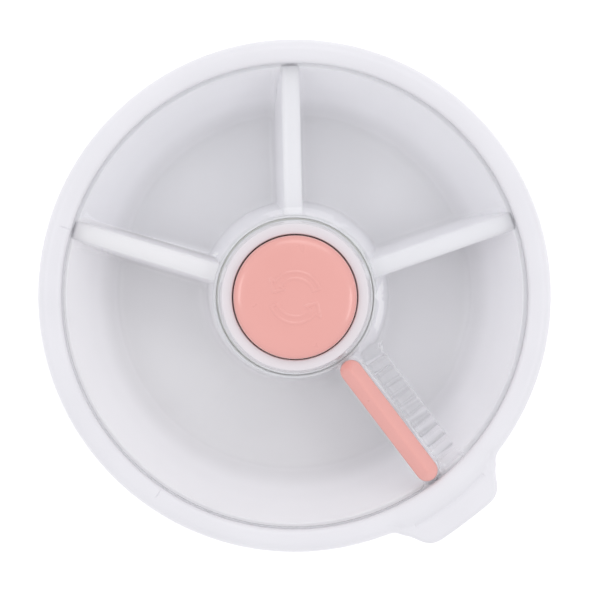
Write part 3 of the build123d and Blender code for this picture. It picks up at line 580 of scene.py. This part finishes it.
def tray_top_section():
    """From the top of the hub's bore, down the hub's cone, across the floor and up the bowl to the flange."""
    section = [(HUB_BORE_R, TRAY_TOP - 0.35), (HUB_BORE_R + 0.1, TRAY_TOP - 0.1)]
    section += [(HUB_BORE_R + 0.35, TRAY_TOP), (HUB_TOP_R - 0.45, TRAY_TOP)]
    section += [(HUB_TOP_R - 0.12, TRAY_TOP - 0.14), (HUB_TOP_R + 0.05, TRAY_TOP - 0.5)]
    steps = 14
    cone_top, cone_low = TRAY_TOP - 0.5, TRAY_FLOOR + 4.0
    for i in range(1, steps + 1):
        z = cone_top + (cone_low - cone_top) * i / steps
        section.append((HUB_TOP_R + (TRAY_TOP - z) * HUB_SLOPE, z))
    start, foot = section[-1], (36.0, TRAY_FLOOR)
    section += bezier(start, (start[0] + 0.3, TRAY_FLOOR + 1.2), (start[0] + 1.8, TRAY_FLOOR), foot, 10)
    wall = bezier((TRAY_FLOOR_R, TRAY_FLOOR), (65.5, 11.5), (73.5, 24.5), (TRAY_RIM_R, TRAY_RIM - 0.5), 40)
    floor_end = TRAY_FLOOR_R - 3.0
    floor_steps = 12
    section += [
        (foot[0] + (floor_end - foot[0]) * i / floor_steps, TRAY_FLOOR) for i in range(1, floor_steps + 1)
    ]
    join = 4
    join_r, join_z = wall[join]
    pull = (join_r - 1.7, join_z - 1.5)
    section += bezier((floor_end, TRAY_FLOOR), (floor_end + 2.2, TRAY_FLOOR), pull, wall[join], 10)
    section += wall[join + 1 :]
    section += [(TRAY_RIM_R + 0.12, TRAY_RIM - 0.14), (TRAY_RIM_R + 0.5, TRAY_RIM)]
    end_steps = 6
    section += [
        (TRAY_RIM_R + 0.5 + (DIVIDER_FOOT_END_R - TRAY_RIM_R - 0.5) * i / end_steps, TRAY_RIM)
        for i in range(1, end_steps + 1)
    ]
    section += [(TRAY_FLANGE_R - 0.4, TRAY_RIM), (TRAY_FLANGE_R, TRAY_RIM - 0.4)]
    return section


def tray_under_section():
    """Back from the flange's edge, under the bowl and the floor, and up inside the hub's cone."""
    outer = TRAY_RIM_R + TRAY_WALL
    under = tray_low.z
    section = [(TRAY_FLANGE_R, FLANGE_UNDER + 0.3), (TRAY_FLANGE_R - 0.3, FLANGE_UNDER)]
    section += [(outer + 0.4, FLANGE_UNDER), (outer, FLANGE_UNDER - 0.4)]
    section += bezier(section[-1], (75.0, 23.8), (66.7, 10.4), (TRAY_UNDER_R, under), 26)
    section += [(TRAY_UNDER_R - (TRAY_UNDER_R - 31.5) * i / 10, under) for i in range(1, 11)]
    bore_foot = HUB_BORE_R + (TRAY_TOP - under) * HUB_SLOPE
    section += [(bore_foot + 0.2, under + 0.3)]
    steps = 12
    for i in range(1, steps + 1):
        z = under + 1.0 + (TRAY_TOP - 1.0 - under - 1.0) * i / steps
        section.append((HUB_BORE_R + (TRAY_TOP - z) * HUB_SLOPE, z))
    return section


def divider_crest(r):
    """Height of a divider's middle line: level, then sloping down past its end radius."""
    past = r - DIVIDER_END_R
    return TRAY_TOP - DIVIDER_END_SLOPE * (past + sqrt(past * past + DIVIDER_END_ROUNDING)) / 2


def divider_height(r, offset, foot_width):
    """Top of a divider at a radius and at a distance from its middle plane: a crown, then a flank."""
    side = divider_crest(r) - DIVIDER_CROWN
    if offset <= DIVIDER_HALF:
        return side + DIVIDER_CROWN * max(1 - (offset / DIVIDER_HALF) ** CROWN_POWER, 0) ** (1 / CROWN_POWER)
    return side - (offset - DIVIDER_HALF) * (TRAY_TOP - DIVIDER_CROWN - tray_low.z) / foot_width


def root_round(r, offset, foot_width):
    """How far the rounding at a divider's foot lifts the floor, fading out at the rim."""
    along = min(max((offset - DIVIDER_HALF - foot_width + 0.05) / ROOT_ROUND, 0), 1)
    return ROOT_ROUND * (1 - sqrt(1 - (1 - along) ** 2)) * smooth_step((TRAY_RIM_R - r) / ROOT_FADE)


def core_height(r, offset, foot_width):
    """Roof of the hollow under a divider."""
    inside = CORE_START_R < r < CORE_END_R
    half = DIVIDER_HALF - TRAY_WALL
    if not inside or offset > half + foot_width:
        return tray_low.z
    return TRAY_TOP - TRAY_WALL - max(offset - half, 0) * (TRAY_TOP - TRAY_WALL - tray_low.z) / foot_width


def crease_height(r, angle):
    """A low rib across the floor, at the station that has no divider."""
    drift = (angle - CREASE_ANGLE + 180) % 360 - 180
    along = smooth_step((r - CREASE_START_R) / CREASE_FADE) * smooth_step((CREASE_END_R - r) / CREASE_FADE)
    return CREASE_RELIEF * along * smooth_step(1 - abs(drift) / CREASE_HALF_ANGLE)


def tray_columns():
    """(angle at a radius, offset) rules for the mesh's columns, parallel to the dividers beside them."""
    rules = []
    for k, axis in enumerate(DIVIDER_ANGLES):
        following = DIVIDER_ANGLES[k + 1] if k + 1 < len(DIVIDER_ANGLES) else TAB_ANGLE + 360
        gap = following - axis
        middle = int(gap / 2)
        rules += [(axis, 1, offset, None) for offset in DIVIDER_OFFSETS]
        rules += [(axis, 1, DIVIDER_OFFSETS[-1], (i / middle, gap)) for i in range(1, middle)]
        rules += [(following, -1, offset, None) for offset in reversed(DIVIDER_OFFSETS[1:])]
    return rules


def make_tray():
    top, under = tray_top_section(), tray_under_section()
    first_wall = next(i for i, (r, z) in enumerate(top) if r > HUB_TOP_R)
    columns = []
    for axis, sign, offset, share in tray_columns():
        column = []
        for i, (r, z) in enumerate(top + under):
            swing = degrees(asin(min(offset / r, 1)))
            if share:
                swing += (share[1] - 2 * swing) * share[0]
            angle = axis + sign * swing
            away = offset if share is None else DIVIDER_OFFSETS[-1]
            foot_width = SLOPED_FOOT if sign > 0 else STEEP_FOOT
            if first_wall <= i < len(top) and r < DIVIDER_FOOT_END_R + 0.1:
                wall_z = min(divider_height(r, away, foot_width), TRAY_TOP)
                z = max(z + root_round(r, away, foot_width), wall_z) + crease_height(r, angle)
            elif i >= len(top) and share is None:
                z = max(z, core_height(r, offset, foot_width)) if z < TRAY_FLOOR else z
            column.append((r * cos(radians(angle)), r * sin(radians(angle)), z))
        columns.append(column)
    bm = bmesh.new()
    add_grid(bm, columns)
    tray = new_piece("compartment_tray_shell", bm, "tray", TRAY, sharp=60)
    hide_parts("compartment_tray")


def make_hub_well():
    """The floor inside the tray's hub, with the five-sided hole that the spindle's foot drops through."""
    low, high = 20.0, 22.0
    key_r = 13.2
    turns = 200
    bm = bmesh.new()
    columns = []
    for i in range(turns):
        angle = 360 * i / turns
        drift = (angle - TAB_ANGLE) % STATION_PITCH
        key = key_r * cos(radians(STATION_PITCH / 2)) / cos(radians(drift - STATION_PITCH / 2))
        wall = HUB_BORE_R + (TRAY_TOP - high) * HUB_SLOPE + 0.5
        section = [(key + 0.3, high), (key, high - 0.3), (key, low + 0.3), (key + 0.3, low)]
        section += [(wall, low), (wall, high)]
        columns.append(turned(angle, section))
    add_grid(bm, columns)
    well = new_piece("tray_hub_floor", bm, "tray", TRAY)
    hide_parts("compartment_tray")


# ---------------------------------------------------------------- lid ring
RING_R = ring_high.x
RING_TOP = ring_high.z
RING_FOOT = ring_low.z
WINDOW_R = 79.4
WINDOW_TOP = 43.2
RING_LIP = 42.5
RING_SEAT = 39.4
POCKET_R = 82.6
SKIRT_BORE_R = 85.3
CROWN_R = 83.4
SKIRT_TOP = 40.5
TAB_REACH = -ring_low.y
TAB_TOP = 43.2
TAB_UNDER = 39.4
TAB_HALF_TIP = 15.0
TAB_FLARE = 0.357
FLARE_COSINE = 0.94
TAB_TIP_BULGE = 0.5
TAB_TIP_BLEND = 5.0
TAB_ROOT_BLEND = 7.5
TAB_HALF_ANGLE = 24
GROOVE_R = 88.5
GROOVE_DEPTH = 0.45
GROOVE_HALF_ANGLE = 9.6
MARK_ANGLES = (126.0, 198.0)
MARK_HALF_ANGLE = 0.16
MARK_DEPTH = 0.22


def ring_reach(drift):
    """How far the ring's outline stands out of its circle, at an angle in degrees from the tab's middle."""
    low, high = RING_R - 0.5, TAB_REACH + 4
    for _ in range(40):
        r = (low + high) / 2
        out, across = r * cos(radians(drift)), abs(r * sin(radians(drift)))
        tip = out - TAB_REACH + TAB_TIP_BULGE * (across / TAB_HALF_TIP) ** 2
        edge = (across - TAB_HALF_TIP - (TAB_REACH - out) * TAB_FLARE) * FLARE_COSINE
        shape = smooth_min(r - RING_R, smooth_max(tip, edge, TAB_TIP_BLEND), TAB_ROOT_BLEND)
        if shape < 0:
            low = r
        else:
            high = r
    return max(low - RING_R, 0)


def ring_outer(reach, groove):
    """Points from the crown's top, out over the tab if it's there, down to the skirt."""
    crown_steps, skirt_steps = 19, 6
    plain = [(CROWN_R, RING_TOP)]
    plain += bezier(plain[0], (85.9, RING_TOP), (RING_R, 43.4), (RING_R, SKIRT_TOP), crown_steps)
    plain += [(RING_R - 0.06 * i, SKIRT_TOP - 0.5 * i) for i in range(1, skirt_steps + 1)]
    edge = RING_R + reach
    slope_end = 90.2
    squeeze = min(1, (edge - 1.7 - CROWN_R) / (slope_end - CROWN_R))
    slope = [(CROWN_R, RING_TOP), (84.4, 45.12), (85.4, 44.8), (86.4, 44.25), (87.2, 43.75), (87.75, 43.42)]
    slope += [(GROOVE_R - 0.4, 43.32 - groove * 0.6), (GROOVE_R - 0.1, 43.28 - groove)]
    slope += [(GROOVE_R + 0.2, 43.26 - groove), (GROOVE_R + 0.5, 43.24 - groove * 0.55)]
    slope += [(89.4, TAB_TOP), (slope_end, TAB_TOP)]
    slope = [(CROWN_R + (r - CROWN_R) * squeeze, z) for r, z in slope]
    slope += [(edge - 1.6, TAB_TOP - 0.02), (edge - 1.0, TAB_TOP - 0.16), (edge - 0.45, TAB_TOP - 0.55)]
    slope += [(edge - 0.12, TAB_TOP - 1.1), (edge, TAB_TOP - 1.8), (edge, TAB_UNDER + 1.3)]
    slope += [(edge - 0.2, TAB_UNDER + 0.6), (edge - 0.6, TAB_UNDER + 0.15), (edge - 1.2, TAB_UNDER)]
    inner = RING_R + 0.6 * min(1, reach / 3)
    slope += [((edge - 1.2 + inner) / 2, TAB_UNDER), (inner, TAB_UNDER - 0.05)]
    slope += [(RING_R + 0.05, TAB_UNDER - 0.5), (RING_R - 0.25, TAB_UNDER - 1.3)]
    slope += [(RING_R - 0.42, TAB_UNDER - 2.0)]
    share = smooth_step(reach / 2.5)
    return [tuple(p + (t - p) * share for p, t in zip(a, b)) for a, b in zip(plain, slope)]


def ring_section(drift, mark):
    """The ring's closed section at an angle from the tab's middle. mark is 1 at a nick and 0 away from it."""
    groove = GROOVE_DEPTH * smooth_step((GROOVE_HALF_ANGLE - abs(drift)) / 0.25)
    section = [(WINDOW_R + 0.3, RING_LIP), (WINDOW_R + 0.08, RING_LIP + 0.08), (WINDOW_R, RING_LIP + 0.3)]
    section += [(WINDOW_R, WINDOW_TOP)]
    inner_crown = bezier((WINDOW_R, WINDOW_TOP), (WINDOW_R, 44.6), (81.3, RING_TOP), (CROWN_R, RING_TOP), 12)
    section += inner_crown[:-1]
    section = [(r, z - mark * MARK_DEPTH * smooth_step((z - 43.6) / 0.4)) for r, z in section]
    section += ring_outer(ring_reach(drift) if abs(drift) < TAB_HALF_ANGLE else 0, groove)
    section += [(RING_R - 0.48, RING_FOOT + 0.5), (RING_R - 0.6, RING_FOOT + 0.15)]
    section += [(RING_R - 0.95, RING_FOOT), (SKIRT_BORE_R + 0.4, RING_FOOT)]
    section += [(SKIRT_BORE_R + 0.1, RING_FOOT + 0.1), (SKIRT_BORE_R, RING_FOOT + 0.4)]
    section += [(SKIRT_BORE_R, RING_SEAT), (POCKET_R, RING_SEAT), (POCKET_R, RING_LIP)]
    return section


def ring_angles():
    """Angles from the tab's middle: even steps, closer along the tab's edge and at the two marks."""
    angles = {round(-180 + 1.25 * i, 4) for i in range(288)}
    angles |= {round(sign * (7 + 0.1 * i), 4) for i in range(91) for sign in (-1, 1)}
    for mark in MARK_ANGLES:
        middle = (mark - TAB_ANGLE + 180) % 360 - 180
        angles |= {round(middle + MARK_HALF_ANGLE * k / 2, 4) for k in range(-4, 5)}
    return sorted(angles)


def make_lid_ring():
    columns = []
    for drift in ring_angles():
        mark = 0
        for place in MARK_ANGLES:
            away = abs((TAB_ANGLE + drift - place + 180) % 360 - 180)
            mark = max(mark, smooth_step(2 - 2 * away / MARK_HALF_ANGLE))
        columns.append(turned(TAB_ANGLE + drift, ring_section(drift, mark)))
    bm = bmesh.new()
    add_grid(bm, columns)
    ring = new_piece("lid_ring_shell", bm, "lid_frame", SHELL, sharp=55)
    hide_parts("lid_ring")


# ---------------------------------------------------------------- handle bar
BAR_BEVEL = 3.1


def stadium(half_length, radius, end_steps=18):
    """Outline of a bar with round ends along Y, about the origin."""
    points = []
    for sign in (-1, 1):
        for i in range(end_steps + 1):
            angle = radians((-180 if sign < 0 else 0) + 180 * i / end_steps)
            points.append((radius * cos(angle), sign * half_length + radius * sin(angle)))
    return points


def make_handle_bar():
    radius = bar_high.x
    middle = (bar_low.y + bar_high.y) / 2
    half_length = (bar_high.y - bar_low.y) / 2 - radius
    low, high = bar_low.z + TOUCH_GAP, bar_high.z
    side_top = high - BAR_BEVEL
    profile = [(0.35, low), (0.1, low + 0.1), (0, low + 0.35), (0, side_top - 0.35), (0.06, side_top - 0.1)]
    profile += [(0.2, side_top + 0.14), (0.42, side_top + 0.38), (2.0, side_top + 1.86), (3.2, high - 0.22)]
    profile += [(3.38, high - 0.1), (3.55, high - 0.03), (3.72, high)]
    bm = bmesh.new()
    columns = []
    for inset, z in profile:
        columns.append([(x, y + middle, z) for x, y in stadium(half_length, radius - inset)])
    rows = add_grid(bm, columns, close_across=False)
    for row in (rows[0], rows[-1]):
        bm.faces.new(row)
    bar = new_piece("handle_bar_grip", bm, "cover", CORAL, sharp=60)
    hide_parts("handle_bar")


# ---------------------------------------------------------------- push button
BUTTON_R = button_high.x
BUTTON_TOP = button_high.z
BUTTON_FOOT = button_low.z
BUTTON_SHOULDER = 46.8
BUTTON_WALL = 1.8
DOME_EDGE = (18.6, 49.7)
# The icon's arrows stand up in a shallow dish, so that they don't rise above the button's dome.
DISH_R = 18.0
DISH_FADE = 5
ICON_R = 7.6
ICON_RELIEF = 0.22
ICON_LINE = 0.56
ICON_LINE_EDGE = 0.3
ICON_MARGIN = 1.5
ICON_GAP = 1.15
ICON_HEAD = 3.0
ICON_ARCS = ((20, 142), (200, 322))


def segment_distance(x, y, a, b):
    """Distance of a point from the line between a and b."""
    dx, dy = b[0] - a[0], b[1] - a[1]
    t = min(max(((x - a[0]) * dx + (y - a[1]) * dy) / (dx * dx + dy * dy), 0), 1)
    return hypot(x - a[0] - t * dx, y - a[1] - t * dy)


def arrow_outline(start, end):
    """Corners of a curved arrow that runs round a circle from start to end, in degrees."""
    steps = 16
    tip = end + 24

    def polar(r, angle):
        return (r * cos(radians(angle)), r * sin(radians(angle)))

    outer = [polar(ICON_R + ICON_GAP, start + (end - start) * i / steps) for i in range(steps + 1)]
    inner = [polar(ICON_R - ICON_GAP, end + (start - end) * i / steps) for i in range(steps + 1)]
    head = [polar(ICON_R + ICON_HEAD, end), polar(ICON_R, tip), polar(ICON_R - ICON_HEAD, end)]
    return outer + head + inner


def icon_relief(x, y, outlines):
    """Height of the arrows' outlines at a point of the button's top."""
    nearest = ICON_R
    for outline in outlines:
        for i, point in enumerate(outline):
            nearest = min(nearest, segment_distance(x, y, outline[i - 1], point))
    return ICON_RELIEF * smooth_step((ICON_LINE - nearest) / ICON_LINE_EDGE)


def make_button():
    """A shallow dome with two arrows in low relief, hollow underneath round a boss."""
    dome = bezier((0, BUTTON_TOP), (11.0, BUTTON_TOP), (15.5, 50.6), DOME_EDGE, 96)
    shoulder = bezier(DOME_EDGE, (20.3, 49.2), (BUTTON_R, 48.4), (BUTTON_R, BUTTON_SHOULDER), 14)
    outer = dome + shoulder + [(BUTTON_R, BUTTON_FOOT + 0.3), (BUTTON_R - 0.3, BUTTON_FOOT)]
    bore = BUTTON_R - BUTTON_WALL
    inner = [(bore, BUTTON_FOOT), (bore, BUTTON_SHOULDER - 0.5)]
    inner += bezier(inner[-1], (bore, 48.0), (16.5, 49.0), (6.5, 49.0), 10)
    inner += [(6.0, 48.6), (6.0, 46.0), (0, 46.0)]
    outlines = [arrow_outline(*arc) for arc in ICON_ARCS]
    tilt = radians(PHOTO_UP - 90)
    turns = 480
    bm = bmesh.new()
    columns = []
    for i in range(turns):
        angle = 360 * i / turns
        column = [(0, 0, BUTTON_TOP - ICON_RELIEF)]
        for r, z in outer:
            z -= ICON_RELIEF * smooth_step((DISH_R - r) / DISH_FADE)
            if abs(r - ICON_R) < ICON_HEAD + ICON_MARGIN:
                local = radians(angle) - tilt
                z += icon_relief(r * cos(local), r * sin(local), outlines)
            column.append((r * cos(radians(angle)), r * sin(radians(angle)), z))
        column += turned(angle, inner)
        columns.append(column)
    add_grid(bm, columns, close_along=False)
    button = new_piece("push_button_cap", bm, "button", CORAL, sharp=50)
    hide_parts("push_button")


def make_collar():
    """The white ring round the button, a hair clear of the boss that holds it."""
    low, high = box_mm("hub_collar")
    outer_r, inner_r = high.x - TOUCH_GAP, BUTTON_R + 0.4
    corners = [(inner_r, low.z + TOUCH_GAP, 0.1), (outer_r, low.z + TOUCH_GAP, 0.1)]
    corners += [(outer_r, high.z, 0.6), (inner_r, high.z, 0.5)]
    collar = revolved("hub_collar_ring", rounded(corners), "cover", COLLAR, turns=288)
    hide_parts("hub_collar")


# ---------------------------------------------------------------- spring
def make_spring():
    """The return spring, with closed and flattened end turns."""
    wire = 0.5
    coil_r = spring_high.x - wire
    turns, steps, sides = 6.0, 44, 12
    closed_turns = 0.9
    low, high = spring_low.z + wire, spring_high.z - wire
    bm = bmesh.new()
    columns = []
    total = int(turns * steps)
    for i in range(total + 1):
        t = i / total
        climbed = min(max((t * turns - closed_turns) / (turns - 2 * closed_turns), 0), 1)
        z = low + (high - low) * (smooth_step(climbed) + climbed) / 2
        angle = radians(360 * turns * t)
        ring = []
        for k in range(sides):
            spin = 2 * pi * k / sides
            r = coil_r + wire * cos(spin)
            ring.append((r * cos(angle), r * sin(angle), z + wire * sin(spin)))
        columns.append(ring)
    rows = add_grid(bm, columns, close_across=False)
    for row in (rows[0], rows[-1]):
        bm.faces.new(row)
    spring = new_piece("button_spring_coil", bm, "cover", STEEL, sharp=60)
    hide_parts("button_spring")
    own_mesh(spring)


make_case()
make_pad()
make_tray()
make_hub_well()
make_lid_ring()
make_handle_bar()
make_button()
make_spring()
softened("clear_cover", CLEAR, edge=0.15)
make_collar()
softened("cover_retainer", SHELL, edge=0.2)
for inner_node in ("spring_housing", "spindle", "index_crown", "foot_plug", "thrust_washer", "button_stem"):
    softened(inner_node, INNER, edge=0.15)
for metal_node in ("hub_screws", "handle_screws", "stem_screw", "retaining_clip"):
    softened(metal_node, STEEL, edge=0.08)
make_seal("lid_seal", "lid_frame")
make_seal("hub_seal", "cover")
